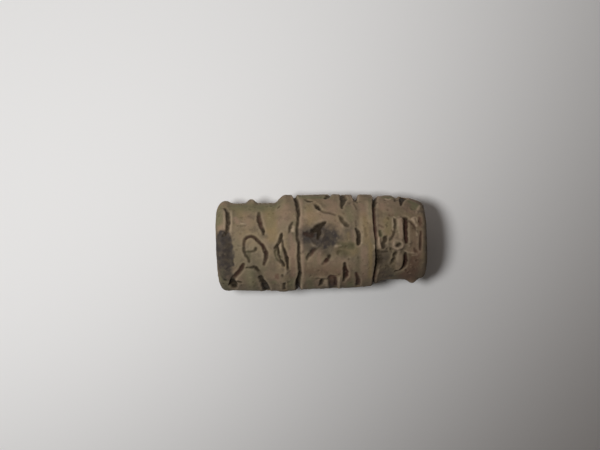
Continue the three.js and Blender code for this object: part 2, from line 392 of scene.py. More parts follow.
def stain(name, path, width, strength=1.0, soft=1.0):
    """Colour along a path, patchy like the darkening in the trenches."""
    found, off, along = near(path, np.max(width) / 2 + soft)
    spread = fall(off - widths(width, along) * RAGGED[found], soft)
    keep_more(stains[name], found, strength * PATCHY[found] * spread)


print("cut, stand, swell, stain")

# %% [markdown]
# ## Collar and first register
#
# The collar is a plain band. A tool line separates a proud pad from it, and below the pad the surface
# has come away where the fire smoked it. The register beside it holds an open curl with a short tail,
# one upright stroke above, a pointed leaf that runs up on to the first ring, and an arch that stands
# on the lower edge with a slanting stroke beside it. The tool dug in hardest at the feet of both.
# None of these strokes is sharp now: their edges have crumbled, and the dirt and painted shade in them are
# thin in places.

# %% Collar
swell((-27.3, 88), (1.7, 3.2), 0.3)
swell((-26.9, -4), (1.8, 5.0), -0.25)
stand([(-28.3, 52), (-28.3, 34), (-28.4, 20)], (2.2, 2.6, 1.8), 0.26, slope=1.0)
stand([(-25.3, 56), (-25.3, 38), (-25.4, 18)], 0.7, 0.16)
cut([(-27.2, 58), (-26.8, 55), (-26.4, 50), (-26.2, 40), (-26.2, 30), (-26.4, 23), (-26.9, 17),
     (-27.8, 14)],
    (0.7, 1.0, 1.2, 1.15, 1.0, 0.9, 0.6), 0.5, grime_and_shade=0.88)
cut([(-27.6, -48)], 0.7, 0.35, grime_and_shade=0.6)
cut([(-28.3, -57)], 0.6, 0.35, grime_and_shade=0.7)
cut([(-25.2, -17), (-25.1, -22)], 0.35, 0.15, grime_and_shade=0.6)
stain("smoke_and_shade", [(-27.6, 10), (-27.5, 0), (-27.4, -20)], (5.0, 5.3, 5.0), 1.3, soft=1.2)
stain("grime_and_shade", [(-26.7, 8), (-26.6, -3), (-26.9, -18)], (1.6, 2.4, 1.8), 0.35, soft=1.8)
stain("smoke_and_shade", [(-27.5, -22), (-27.4, -32), (-27.4, -42)], (4.8, 4.2, 3.4), 0.9, soft=1.6)
stain("green", [(-28.2, -30), (-28.3, -44)], 1.2, 0.7)
stain("green", [(-28.0, -50), (-28.0, -74)], 3.2, 0.85, soft=1.6)
stain("smoke_and_shade", [(-28.0, -54), (-28.0, -78)], 3.0, 0.3, soft=1.6)
stain("green", [(-28.8, 62), (-28.6, 34)], 2.4, 0.8, soft=1.4)
stain("pink", [(-28.4, 30), (-28.4, 22)], 1.2, 0.2)
stain("pink", [(-24.2, 41), (-23.6, 35)], 1.3, 0.9)
stain("pink", [(-24.5, -30), (-24.6, -35)], 0.9, 0.6)
stain("pale", [(-25.4, 50), (-25.4, 20)], 0.5, 0.35, soft=0.8)
# Painted highlight: a pale line along the pad's right edge, where the light catches it.
stain("pale", [(-27.2, 50), (-27.2, 24)], 0.4, 0.6, soft=0.5)
print("collar cut to", round(clay["cut"].max(), 2), "mm")

# %% First register
CURL = [(-21.9, 4), (-21.5, 11), (-20.2, 14.5), (-19.1, 13.3), (-18.1, 10), (-17.4, 6.5), (-16.6, 3),
        (-16.1, -3), (-15.7, -7.5), (-15.8, -13.5), (-16.2, -18.5), (-16.5, -22.5)]

swell((-19.8, 88), (1.4, 3.0), 1.2)
swell((-19.1, 80), (0.7, 1.6), 0.3)
swell((-19.3, 3), (1.6, 1.8), 0.22)
swell((-20.2, -52), (1.3, 6.5), 0.34)
cut(CURL, (0.7, 0.8, 0.85, 0.8, 0.8, 0.95, 1.3, 1.05, 0.6), 0.5, grime_and_shade=1.05)
cut([(-21.9, 4), (-21.9, -2), (-21.6, -8), (-21.0, -12.5), (-20.6, -17)], (0.75, 0.8, 0.9, 0.7, 0.5),
    0.45, grime_and_shade=0.95)
cut([(-21.5, -5.5), (-20.2, -5.5), (-19.0, -4)], 0.6, 0.3, grime_and_shade=0.75)
cut([(-18.7, -2.5), (-18.5, -1)], 0.8, 0.4, grime_and_shade=0.95)
cut([(-20.6, -16), (-20.6, -18)], 0.7, 0.35, grime_and_shade=0.9)
cut([(-17.5, 51), (-17.5, 44), (-17.3, 36), (-16.9, 29), (-16.5, 24), (-16.2, 17)],
    (0.75, 1.15, 1.2, 1.15, 1.05, 0.55), 0.5, grime_and_shade=0.85)
cut([(-22.2, -22), (-22.8, -28), (-23.6, -34), (-24.6, -39), (-25.2, -44), (-25.6, -49)],
    (0.75, 1.2, 1.0, 1.1, 1.25, 1.3), 0.5, grime_and_shade=0.85)
cut([(-25.6, -50), (-25.5, -59), (-25.3, -68)], (1.6, 2.3, 1.2), 1.0, grime_and_shade=1.1, wall=0.7)
cut([(-24.2, -51.5), (-23.4, -52.5)], (1.3, 1.0), 0.3, grime_and_shade=0.7)
cut([(-21.4, -26.5), (-20.2, -26), (-19.1, -25.5), (-18.4, -29), (-17.9, -32)],
    (0.5, 0.6, 0.8, 1.0, 0.8), 0.35, grime_and_shade=0.9)
cut([(-17.5, -42), (-17.1, -49), (-16.5, -60), (-16.2, -74), (-16.0, -90)], (1.3, 1.9, 2.2, 2.2, 1.5),
    1.0, grime_and_shade=0.95, wall=0.7)
cut([(-23.6, 29.5), (-22.4, 29), (-21.3, 29.5)], 0.35, 0.14, grime_and_shade=0.35)
cut([(-23.5, 3)], 0.35, 0.12, grime_and_shade=0.4)
cut([(-22.7, 2.5)], 0.3, 0.1, grime_and_shade=0.3)
cut([(-11.8, 56)], 0.8, 0.25, grime_and_shade=0.6)
print("first register cut to", round(clay["cut"].max(), 2), "mm")

# %% Colour on the first register
stain("grime_and_shade", [(-17.8, -32), (-17.4, -43)], 1.2, 0.6, soft=1.2)
stain("grime_and_shade", [(-16.5, 15), (-15.5, 14)], 0.8, 0.3)
stain("grime_and_shade", [(-20.9, -7.5), (-20.6, -14)], (1.7, 1.1), 0.62, soft=0.8)
stain("green", [(-20.8, -7), (-20.6, -12)], 1.4, 0.7)
stain("green", [(-20.2, -32), (-20.2, -60), (-20.0, -78)], (2.0, 2.6, 3.0), 0.6, soft=1.8)
stain("green", [(-23.4, 66), (-13.2, 62)], 4.6, 0.95, soft=4)
stain("green", [(-13.8, -52)], 1.5, 0.7)
stain("pink", [(-15.3, -36), (-13.0, -46)], 2.4, 0.55, soft=1.8)
stain("pink", [(-21.0, 50), (-20.6, 30)], 2.0, 0.4, soft=2.4)
stain("ochre", [(-14.6, 54), (-13.8, 14)], 3.2, 0.95, soft=2.2)
stain("green", [(-14.2, 50), (-14.4, 30)], 2.4, 0.45, soft=2.4)
stain("ochre", [(-23.0, 60), (-22.0, 46)], 2.4, 0.5, soft=2.2)
stain("pale", [(-22.6, 33), (-21.4, 32)], 0.4, 0.7, soft=0.5)
stain("pale", [(-24.6, -46)], 0.9, 0.5)
stain("smoke_and_shade", [(-19.4, -16), (-18.6, -38)], 2.6, 0.3, soft=2.4)
stain("smoke_and_shade", [(-13.8, -14), (-14.0, -26)], 2.4, 0.28, soft=2.2)
stain("red", [(-22.5, -24), (-23.6, -33), (-24.8, -42)], 1.3, 0.55)
stain("red", CURL, 0.9, 0.45)
stain("red", [(-17.4, 44), (-16.8, 28)], 1.0, 0.6)
print("first register coloured")

# %% Leaf
swell((-11.6, -12), (0.9, 2.8), 0.18)
cut([(-11.3, 13), (-11.6, 8), (-12.1, 4.5), (-12.7, 1), (-13.2, -1.5)], (0.8, 1.1, 1.1, 0.95, 0.7), 0.6,
    grime_and_shade=1.1)
cut([(-12.9, -2.5), (-13.2, -7), (-13.0, -12), (-12.4, -17), (-11.7, -21)], (0.9, 0.6, 0.45, 0.5, 0.4),
    0.3, grime_and_shade=0.8)
cut([(-12.5, -1), (-12.3, -6), (-12.2, -11), (-11.8, -16), (-11.2, -21), (-10.8, -26)],
    (0.8, 0.75, 0.6, 0.6, 0.95, 0.7), 0.5, grime_and_shade=1.1)
cut([(-11.0, -1), (-10.6, -6), (-10.3, -11), (-10.0, -17), (-9.8, -25), (-9.7, -32)],
    (0.45, 0.8, 0.95, 0.95, 0.85, 0.45), 0.55, grime_and_shade=1.05)
cut([(-11.3, 11), (-11.1, 5), (-10.9, -1)], (0.4, 0.6, 0.6), 0.3, grime_and_shade=0.95)
cut([(-11.9, -12), (-11.2, -15)], 0.4, 0.25, grime_and_shade=0.7)
cut([(-11.3, -38.5), (-11.3, -41)], 0.5, 0.2, grime_and_shade=0.6)
cut([(-10.9, -54), (-11.0, -60), (-11.0, -68)], (0.9, 0.6, 0.9), 0.45, grime_and_shade=0.85)
stand([(-13.0, -9), (-12.7, -16)], (0.8, 0.6), 0.15)
stand([(-10.4, -33), (-10.4, -37)], 0.9, 0.15)
stain("grime_and_shade", [(-12.7, -4), (-12.6, -10)], 0.9, 0.5, soft=0.8)
stain("grime_and_shade", [(-12.5, -9), (-11.9, -16)], (1.0, 0.8), 0.42, soft=0.9)
stain("grime_and_shade", [(-11.4, -8), (-11.0, -20)], 0.5, 0.45, soft=0.6)
stain("green", [(-13.0, -5), (-12.8, -16)], 1.0, 0.7)
stain("pale", [(-11.6, 2), (-11.5, -4)], 0.4, 0.5, soft=0.5)
stain("green", [(-11.6, -6), (-11.2, -20)], 0.9, 0.8, soft=0.8)
stain("pale", [(-10.4, -33), (-10.4, -38)], 0.8, 0.5)
stain("red", [(-12.9, -38.5), (-12.9, -42)], 1.2, 1.0, soft=0.9)
print("leaf done")

# %% [markdown]
# ## The first ring
#
# The ring was rolled up against a straight edge and then cut free of the middle register with one deep
# line all the way round. The line wavers, narrows where the tool lifted on top, and opens into a notch
# at the far edge. A groove that goes right round is cut in two lengths that overlap, one over the top
# and one round the back, because each move looks for the clay near one stretch only.

# %% First ring and its groove
FIRST_GROOVE = [(-7.2, 92), (-7.2, 78), (-6.7, 59), (-6.4, 50), (-6.3, 43), (-6.2, 36), (-6.4, 30),
                (-6.5, 24), (-6.7, 18), (-6.8, 7), (-6.6, 2), (-6.3, -1), (-6.4, -8), (-6.6, -16),
                (-6.5, -24), (-6.4, -32), (-6.3, -40), (-6.7, -48), (-7.0, -58), (-7.0, -74), (-6.9, -94)]
FIRST_WIDTHS = (1.3, 1.1, 0.9, 0.8, 0.8, 0.8, 0.65, 0.6, 0.55, 0.65, 0.75, 0.7, 0.75, 1.1, 1.3, 1.3,
                1.2, 1.2)
BACK_OF_FIRST = [(-6.7, -92), (-6.3, -120), (-6.6, -150), (-6.4, -180), (-6.7, -210), (-6.5, -240),
                 (-7.1, -268)]

cut(FIRST_GROOVE, FIRST_WIDTHS, 1.1, grime_and_shade=0.62, wall=0.55, lip=0.08)
cut(BACK_OF_FIRST, (1.1, 0.9, 1.0, 1.1, 1.0, 1.2, 1.7), 1.25, grime_and_shade=0.9, wall=0.5, lip=0.08)
cut([(-8.0, 25), (-8.7, 20), (-9.0, 13)], (0.5, 0.75, 0.45), 0.35, grime_and_shade=0.85)
stand([(-7.7, 19), (-7.8, 14)], 0.7, 0.14)
stand([(-5.3, 70), (-5.3, 38), (-5.5, 9), (-5.3, -19), (-5.4, -59)], 0.8, 0.12, slope=0.8)
stand([(-5.9, -61), (-5.9, -71)], 0.8, 0.3)
swell((-10.4, 74), (1.3, 6.0), 0.3)
swell((-13.2, 80), (1.1, 6.0), -0.25)
swell((-12.0, -70), (2.0, 6.0), 0.25)
stain("grime_and_shade", [(-7.1, 74), (-6.3, 50), (-6.1, 38), (-6.3, 29)], (0.7, 0.7, 0.6), 1.0, soft=0.8)
stain("grime_and_shade", [(-7.3, 66), (-7.0, 48), (-6.9, 34)], 0.7, 0.5, soft=1.0)
stain("grime_and_shade", [(-6.4, 1), (-6.5, -16), (-6.4, -40), (-7.0, -58), (-7.0, -88)], (0.6, 0.7, 1.3, 1.2),
      1.0, soft=0.8)
stain("grime_and_shade", [(-7.3, 25), (-7.5, 14), (-7.3, 5)], 0.9, 0.3, soft=1.4)
stain("green", [(-7.4, 25), (-7.6, 5)], 1.2, 0.5, soft=1.2)
stain("green", [(-8.6, -52), (-8.8, -76)], 2.2, 0.6, soft=1.6)
stain("pink", [(-5.4, 60), (-5.5, 20), (-5.4, -20), (-5.4, -58)], 0.9, 0.8)
stain("pale", [(-5.9, -61), (-5.9, -72)], 0.7, 0.9)
stain("pale", [(-7.9, 19), (-7.9, 15)], 0.9, 1.0, soft=0.6)
stain("pink", [(-10.0, 46), (-9.6, 28)], 1.8, 0.5, soft=2.0)
stain("pink", [(-8.3, 8), (-8.1, -12), (-8.2, -40)], 1.5, 0.8, soft=1.4)
stain("red", [(-8.2, -22), (-8.4, -44)], 1.4, 0.35, soft=1.6)
print("first groove", max(FIRST_WIDTHS), "mm at its widest")

# %% [markdown]
# ## The middle register
#
# This is the busiest part and the most worn. A deep socket opens to the left of a shallow dimple,
# with a lip in the shape of a V under it, and the fire has smoked them both. Short wedges were pushed
# in at the top and bottom edges with the tool's corner, and a clean upright slot closes the register.
# Two bites are out of the far edge. Pits follow where bits of grit fell out.

# %% Socket and dimple
SOCKET_LIP = [(-3.7, 5), (-3.0, 1), (-2.5, -2.5), (-1.5, -5)]

swell((2.5, 5), (2.4, 2.7), -0.55)
swell((-1.9, 7), (1.9, 2.2), -0.4)
cut([(1.2, 24.3), (0.5, 22.5), (-0.5, 19), (-1.5, 16)], (0.7, 1.2, 1.9, 2.0), 1.0, grime_and_shade=1.15)
cut([(-0.8, 17), (-0.7, 12), (-0.8, 8), (-1.0, 4.5)], (1.5, 1.25, 1.0, 0.6), 0.9, grime_and_shade=1.15)
cut([(-1.6, 16), (-2.4, 13), (-2.5, 10)], (1.5, 1.3, 0.8), 0.7, grime_and_shade=1.1)
cut([(-4.9, 11), (-3.9, 10), (-2.6, 9.5)], (0.8, 1.5, 1.8), 0.4, grime_and_shade=0.7)
stand(SOCKET_LIP, (0.5, 0.6, 0.7, 0.5), 0.4, slope=0.5)
stand([(-1.5, -5), (-0.5, -2), (0.1, 4), (0.5, 9), (0.2, 15)], (0.4, 0.4, 0.6, 0.5, 0.3), 0.3,
      slope=0.5)
stain("smoke_and_shade", [(1.2, 13), (1.8, 5), (1.3, -3)], (2.4, 3.6, 3.0), 1.2, soft=2.2)
stain("smoke_and_shade", [(-4.4, 8), (-2.0, 7), (0.6, 7), (2.2, 6)], (4.4, 6.0, 6.8, 6.0), 1.0, soft=2.8)
stain("smoke_and_shade", [(-3.4, -5), (0.0, -5), (1.8, -6)], 3.2, 0.75, soft=2.8)
stain("red", [(0.8, 14), (2.6, 18), (3.8, 14)], 1.4, 0.4, soft=2.0)
stain("red", [(0.8, 6), (1.0, -2)], 1.2, 0.45, soft=1.4)
stain("red", [(-4.6, 10), (-3.0, 8)], 1.6, 0.6, soft=1.4)
stain("pale", SOCKET_LIP, 0.35, 0.75, soft=0.5)
stain("pale", [(0.1, 4), (0.5, 9), (0.3, 14)], 0.3, 0.55, soft=0.5)
stain("pale", [(-0.5, 8)], 0.35, 0.9, soft=0.3)
stain("pale", [(-1.4, -0.5)], 0.4, 0.8, soft=0.3)
stain("pale", [(3.8, -5), (4.3, -5)], 0.7, 1.1, soft=0.5)
stain("pale", [(5.1, -4.5), (5.4, -4.5)], 0.5, 0.9, soft=0.5)
print("socket", round(clay["cut"].max(), 2), "mm deep")

# %% Wedges, slot and prongs
cut([(-1.3, 50), (-0.8, 46.5), (-0.2, 43)], (0.9, 1.4, 0.9), 0.65, grime_and_shade=1.15)
cut([(-0.1, 42), (0.5, 39.5), (1.6, 37.5), (2.8, 36.5), (4.2, 33.5)], (0.9, 0.8, 0.6, 0.4), 0.26,
    grime_and_shade=0.5)
cut([(-4.2, 63), (-3.2, 58.5), (-2.3, 58)], (0.5, 0.75, 0.6), 0.3, grime_and_shade=0.95)
cut([(-4.3, 64), (-3.8, 65)], 0.45, 0.2, grime_and_shade=0.55)
cut([(1.6, 66), (2.3, 73), (2.4, 82)], (0.8, 1.4, 1.2), 0.5, grime_and_shade=0.75)
cut([(3.2, 112), (3.2, 92), (3.1, 76)], (0.9, 0.9, 0.6), 0.7, grime_and_shade=0.2)
cut([(6.5, 92), (6.6, 78), (6.8, 66), (6.6, 58), (6.2, 51), (6.1, 45)], (1.2, 1.3, 1.6, 2.0, 1.25, 0.6),
    0.8, grime_and_shade=0.85, wall=0.6)
cut([(5.4, 32), (5.8, 29), (6.3, 24.5), (6.9, 21.5), (7.5, 20)], (0.8, 1.1, 1.1, 1.3, 0.9), 0.42,
    grime_and_shade=0.72)
cut([(9.8, 26), (9.9, 17)], 0.35, 0.12, grime_and_shade=0.35)
cut([(9.8, 16), (10.1, 13.5), (10.4, 10), (10.5, 5), (10.4, 0), (10.2, -2.5)],
    (0.5, 0.8, 1.1, 1.15, 1.1, 0.95), 0.8, grime_and_shade=1.1, wall=0.4)
cut([(-1.6, -8), (-2.4, -9.5), (-2.9, -12), (-3.4, -15)], (0.6, 1.1, 1.2, 0.9), 0.36, grime_and_shade=0.66)
cut([(-3.5, -14), (-4.0, -17.5), (-4.2, -20.5)], (0.9, 0.9, 0.5), 0.38, grime_and_shade=0.78)
cut([(2.0, -17.5), (1.8, -19.5)], (1.1, 1.0), 0.35, grime_and_shade=1.0)
cut([(1.3, -22), (0.9, -23.5)], (1.35, 1.0), 0.4, grime_and_shade=1.1)
cut([(0.4, -25.5), (0.2, -27)], 0.6, 0.2, grime_and_shade=0.5)
cut([(5.3, -11), (4.6, -12.5), (4.5, -15)], (0.6, 1.0, 0.6), 0.25, grime_and_shade=0.58)
cut([(4.9, -7.5), (5.4, -7)], 0.45, 0.18, grime_and_shade=0.5)
cut([(7.5, -21.5)], 0.45, 0.2, grime_and_shade=0.8)
cut([(10.2, -20)], 0.5, 0.12, grime_and_shade=0.35)
print("wedges cut to", round(clay["cut"].max(), 2), "mm")

# %% Colour on the middle register
stain("grime_and_shade", [(5.5, 32), (5.5, 27)], 0.5, 0.3)
stain("grime_and_shade", [(5.6, 50), (5.9, 47)], 0.6, 0.4)
stain("green", [(-5.6, 74), (-2.2, 70), (2.4, 71)], 2.2, 1.0, soft=1.6)
stain("green", [(5.6, -5), (8.8, -5)], 1.8, 0.9, soft=1.4)
stain("green", [(5.0, -12), (7.0, -13)], 1.6, 0.7, soft=1.6)
stain("grime_and_shade", [(5.4, -5), (8.4, -5)], 1.8, 0.55, soft=1.2)
stain("ochre", [(5.2, -8), (8.6, -9)], 3.4, 0.6, soft=2.0)
stain("grime_and_shade", [(4.4, -11), (6.4, -14)], 1.8, 0.5, soft=1.4)
stain("grime_and_shade", [(0.6, -14), (1.8, -17)], 1.6, 0.3, soft=1.6)
stain("red", [(-2.3, -10), (-2.8, -15)], 0.8, 0.7)
stain("red", [(1.2, -22), (0.7, -26)], 1.2, 0.8)
stain("pink", [(-0.9, -13), (-0.9, -25)], 1.2, 0.85)
stain("pink", [(2.0, 62), (4.0, 48), (2.6, 42)], 2.4, 0.7, soft=2.2)
stain("pink", [(1.6, 31), (4.4, 24), (5.4, 12)], 1.4, 0.5, soft=1.8)
stain("pink", [(8.9, 12), (9.0, 1)], 0.9, 0.6)
stain("ochre", [(7.6, 10), (7.7, 3)], 0.8, 0.7)
stain("ochre", [(-3.6, 46), (-3.2, 26)], 2.4, 0.5, soft=2.4)
stain("pale", [(-4.6, 52), (-4.4, 30)], 0.9, 0.3, soft=1.6)
stain("green", [(7.8, 44), (8.4, 30)], 2.0, 0.5, soft=2.0)
stain("pale", [(6.0, 21), (6.0, 19)], 0.6, 0.6)
stain("pale", [(11.2, -1.5)], 0.4, 0.9, soft=0.4)
stain("pale", [(-0.9, 38), (0.6, 43)], 0.35, 0.4, soft=0.5)
print("middle register coloured")

# %% Lower edge
swell((2.0, -12), (1.6, 1.6), -0.15)
cut([(6.3, -27), (6.4, -33), (6.6, -40), (6.6, -46), (6.1, -52), (6.0, -57)],
    (0.6, 1.05, 1.35, 1.45, 0.8, 0.5), 0.9, grime_and_shade=1.15)
cut([(-1.8, -49.5), (-0.2, -50), (1.4, -50.5), (2.2, -46), (3.8, -45.5)], (0.3, 0.35, 0.45, 0.5, 0.4),
    0.3, grime_and_shade=0.55)
cut([(2.6, -48), (3.0, -56), (3.1, -70), (3.2, -84)], (1.9, 2.4, 2.4, 2.2), 0.6, grime_and_shade=0.5, wall=0.6)
cut([(3.6, -50), (3.7, -61), (3.7, -76)], (0.7, 1.0, 1.0), 0.9, grime_and_shade=0.85)
cut([(0.4, -50.5), (-0.2, -54), (-0.4, -60), (-0.8, -67)], (0.6, 0.95, 0.9, 0.6), 0.5, grime_and_shade=0.85)
stand([(4.8, -47), (4.8, -61), (4.8, -84)], 0.7, 0.22, slope=0.5)
stand([(1.1, -54), (1.1, -66)], 1.1, 0.2, slope=0.6)
stand([(-1.8, -46), (1.2, -47)], 1.0, 0.15, slope=0.9)
stain("pale", [(4.8, -48), (4.8, -61), (4.8, -84)], 0.5, 0.75, soft=0.6)
stain("pale", [(1.1, -54), (1.1, -66)], 1.0, 0.4)
stain("red", [(2.8, -48), (3.2, -61), (3.3, -76)], 2.2, 1.1)
stain("red", [(-3.6, -36), (0.0, -38), (5.0, -37)], 3.2, 0.55, soft=3.2)
stain("red", [(7.0, -34), (7.4, -54)], 1.6, 0.8, soft=1.6)
stain("pink", [(0.4, -31), (4.6, -24), (8.6, -28)], 2.0, 0.45, soft=2.6)
stain("green", [(8.0, -56), (8.0, -76)], 2.2, 0.8, soft=1.4)
stain("green", [(-3.6, -56), (-3.4, -76)], 2.0, 0.6, soft=1.6)
print("lower edge done")

# %% [markdown]
# ## The second ring
#
# The second ring is flush with the middle register: only a shallow valley parts them, with a piece
# broken out of it at the far edge and another at the near one. The groove on its other side is the
# deepest on the roll, because the clay beyond it steps down. It nearly closes on top, where crumbs of
# clay fell back into it.

# %% Second ring and its groove
SECOND_GROOVE = [(15.9, 92), (15.9, 74), (15.7, 60), (15.4, 50), (15.3, 40), (15.2, 30), (15.2, 20),
                 (15.3, 10), (15.4, 4), (15.4, -2), (15.4, -6), (15.3, -10), (15.5, -16), (15.6, -23),
                 (15.6, -31), (15.4, -38), (15.2, -45), (14.9, -54), (14.8, -64), (14.8, -78), (15.2, -94)]
SECOND_WIDTHS = (1.35, 1.3, 1.1, 1.0, 0.95, 0.9, 0.8, 0.7, 0.5, 0.4, 0.85, 1.1, 1.1, 0.85, 0.75, 0.8,
                 0.9, 1.0)
BACK_OF_SECOND = [(15.2, -92), (15.5, -120), (15.3, -150), (15.6, -180), (15.8, -210), (15.5, -240),
                  (15.9, -268)]

cut(SECOND_GROOVE, SECOND_WIDTHS, 1.3, grime_and_shade=1.0, wall=0.5, lip=0.05)
cut(BACK_OF_SECOND, (1.0, 1.2, 1.0, 1.1, 1.2, 1.3, 1.4), 1.25, grime_and_shade=0.9, wall=0.5, lip=0.05)
cut([(10.3, 122), (10.2, 104), (10.2, 88), (10.1, 74), (10.1, 62)], (1.4, 1.5, 1.5, 1.4, 1.0), 1.6,
    grime_and_shade=0.15, wall=0.45)
cut([(9.6, 57), (10.6, 57)], 0.35, 0.25, grime_and_shade=0.7)
cut([(9.6, 53), (10.0, 49), (10.2, 44)], 0.35, 0.18, grime_and_shade=0.5)
cut([(9.5, -41), (9.8, -46), (10.1, -52), (10.2, -58), (10.1, -72)], (0.4, 0.75, 1.2, 1.3, 1.2), 0.6,
    grime_and_shade=0.75)
cut([(12.4, 16), (12.5, 6)], 0.7, 0.1, grime_and_shade=0.22)
swell((10.5, 28), (0.8, 9.0), -0.14)
swell((10.4, -25), (0.8, 6.0), -0.16)
stand([(14.8, -7), (14.9, -10)], 0.5, 0.2, slope=0.4)
stand([(16.0, 1), (16.0, -5)], 0.5, 0.2, slope=0.4)
stain("red", [(15.3, 48), (15.2, 20), (15.4, 3)], 1.0, 1.0)
stain("red", [(14.9, -46), (14.8, -66)], 1.4, 0.8, soft=1.4)
stain("red", [(9.7, -44), (10.2, -68)], 1.4, 0.8)
stain("grime_and_shade", [(16.0, 80), (15.8, 58)], 1.1, 0.9)
stain("smoke_and_shade", [(14.6, 70), (14.5, 46)], 0.6, 0.3, soft=1.0)
stain("grime_and_shade", [(15.9, -14), (16.1, -30), (15.9, -40)], (0.9, 1.5, 0.8), 0.85, soft=1.0)
stain("smoke_and_shade", [(16.1, 44), (15.9, 12)], 0.9, 0.38)
stain("smoke_and_shade", [(14.5, -14), (14.4, -44)], 0.6, 0.4, soft=0.8)
stain("pale", [(14.8, -6), (14.9, -10)], 0.4, 1.0, soft=0.4)
stain("pale", [(16.0, 1), (16.0, -6)], 0.4, 0.8, soft=0.6)
stain("pale", [(13.4, 56), (13.5, 24)], 0.9, 0.45, soft=1.2)
stain("pale", [(11.4, 30), (11.5, 8)], 0.7, 0.3, soft=1.2)
stain("ochre", [(12.3, 33), (12.4, 14), (12.6, 2)], 2.4, 0.75, soft=1.8)
stain("ochre", [(13.6, -4), (13.6, -28), (13.6, -52)], 1.1, 1.1, soft=1.2)
stain("green", [(14.2, 64), (14.0, 44), (13.9, 30)], 0.9, 0.7)
stain("pink", [(12.0, 47), (12.0, 36)], 2.0, 0.6, soft=1.6)
stain("pink", [(11.9, -10), (11.8, -30), (11.8, -52)], 1.9, 0.75, soft=1.4)
print("second groove", max(SECOND_WIDTHS), "mm at its widest")

# %% [markdown]
# ## The last register
#
# A figure of some kind is left standing here: a trunk between two cuts, a ringed eye with a smaller
# ring at its side, and below them a tongue held in a hook-shaped cut. It is too worn to name, so each
# of its parts is modelled as the plain lump or ring that it now is, with crumbs and light flakes strewn
# over them. The clay here is thinner, tapers towards the end, and carries a knob on the near side.

# %% Figure
WHISKER = [(23.2, -15.5), (23.8, -18), (25.2, -19), (26.8, -19.5)]
BARB = [(25.5, -22.5), (27.0, -22)]

swell((21.7, -5), (4.2, 10.0), 0.32)
swell((22.2, 12), (1.4, 3.4), 0.42)
swell((21.5, -9), (1.9, 2.0), 0.35)
swell((21.8, -32), (1.5, 3.6), 0.6)
stand([(22.2, 27), (22.2, 14), (22.4, 1)], (1.6, 1.8, 1.4), 0.4, slope=0.6)
stand([(20.3, -6), (20.2, -11), (21.2, -14), (22.4, -12.5), (22.8, -8), (22.2, -4), (21.0, -3.5),
       (20.3, -6)],
      0.7, 0.36, slope=0.5)
stand([(16.2, 2), (16.0, -4), (16.3, -9), (17.1, -13), (18.2, -13)], (0.6, 0.8, 0.8, 0.6, 0.4), 0.38,
      slope=0.5)
stand([(18.6, 2), (18.7, -5), (18.7, -10)], 0.45, 0.28, slope=0.4)
stand([(21.9, -20), (21.9, -31), (21.4, -44)], (1.7, 2.1, 1.5), 0.3, slope=0.7)
stand([(19.8, -19), (19.6, -28), (18.9, -36)], (0.5, 0.6, 0.4), 0.24, slope=0.5)
stand(WHISKER, (0.6, 0.5, 0.5, 0.4), 0.28, slope=0.5)
stand([(20.3, 27), (20.3, 11)], 0.35, 0.2, slope=0.5)
cut([(20.9, 26), (20.9, 18), (20.8, 12), (20.5, 7), (20.2, 3), (19.8, -0.5), (19.2, -2.5)],
    (0.5, 0.65, 0.6, 0.5, 0.6, 0.7, 0.5), 0.5, grime_and_shade=0.72)
cut([(24.1, 28), (24.0, 22), (23.8, 15), (23.8, 8), (23.8, 2), (23.9, -5)],
    (1.2, 1.15, 1.1, 1.1, 1.0, 0.8), 1.0, grime_and_shade=1.05)
cut([(24.4, 27), (25.3, 24), (26.2, 19), (26.8, 12)], (0.9, 0.8, 0.65, 0.4), 0.3, grime_and_shade=0.7)
cut([(21.9, -7.5), (21.3, -9.5)], (0.6, 0.65), 0.6, grime_and_shade=1.0)
cut([(17.9, 1), (17.8, -4)], 1.1, 0.5, grime_and_shade=0.85)
cut([(17.4, -5), (17.3, -11)], 1.1, 0.4, grime_and_shade=0.8)
cut([(19.4, -13.5), (19.4, -15.5)], 0.5, 0.35, grime_and_shade=0.95)
cut([(16.3, -16.5), (17.3, -17.5), (18.6, -18)], 0.4, 0.22, grime_and_shade=0.6)
cut([(21.0, 12.5)], 0.4, 0.3, grime_and_shade=0.9)
cut([(20.9, -19), (20.3, -23), (20.5, -27), (19.9, -31), (20.0, -34), (19.4, -38)],
    (0.6, 0.75, 0.5, 0.75, 0.5, 0.4), 0.5, grime_and_shade=0.9)
cut([(23.5, -20), (23.6, -26), (23.6, -32), (23.5, -38), (22.9, -44), (22.0, -49), (20.8, -52)],
    (0.6, 0.95, 1.1, 1.0, 0.95, 0.85, 0.5), 0.85, grime_and_shade=1.05)
cut([(23.8, -48), (23.9, -51)], 0.4, 0.2, grime_and_shade=0.6)
cut([(16.6, 10), (16.7, 5)], 0.8, 0.25, grime_and_shade=0.6)
cut([(16.4, 19), (17.6, 15)], 0.4, 0.16, grime_and_shade=0.5)
print("figure cut and raised")

# %% Crumbs and flakes over the figure
CRUMBS = 26
CRUMB_TURN = 2.4  # radians from one crumb to the next, so that they scatter
for number in range(CRUMBS):
    turn = CRUMB_TURN * number
    crumb = (21.6 + 3.6 * math.sin(1.7 * turn), -8 + 36 * math.cos(turn))
    if number % 3:  # every third one is a nick instead
        stand([crumb], 0.35 + 0.2 * math.sin(turn) ** 2, 0.16, slope=0.35)
        stain("pale", [crumb], 0.3, 0.7, soft=0.4)
    else:
        cut([crumb, (crumb[0] + 0.3, crumb[1] - 2)], 0.4, 0.18, grime_and_shade=0.6)
print(CRUMBS, "crumbs and nicks")

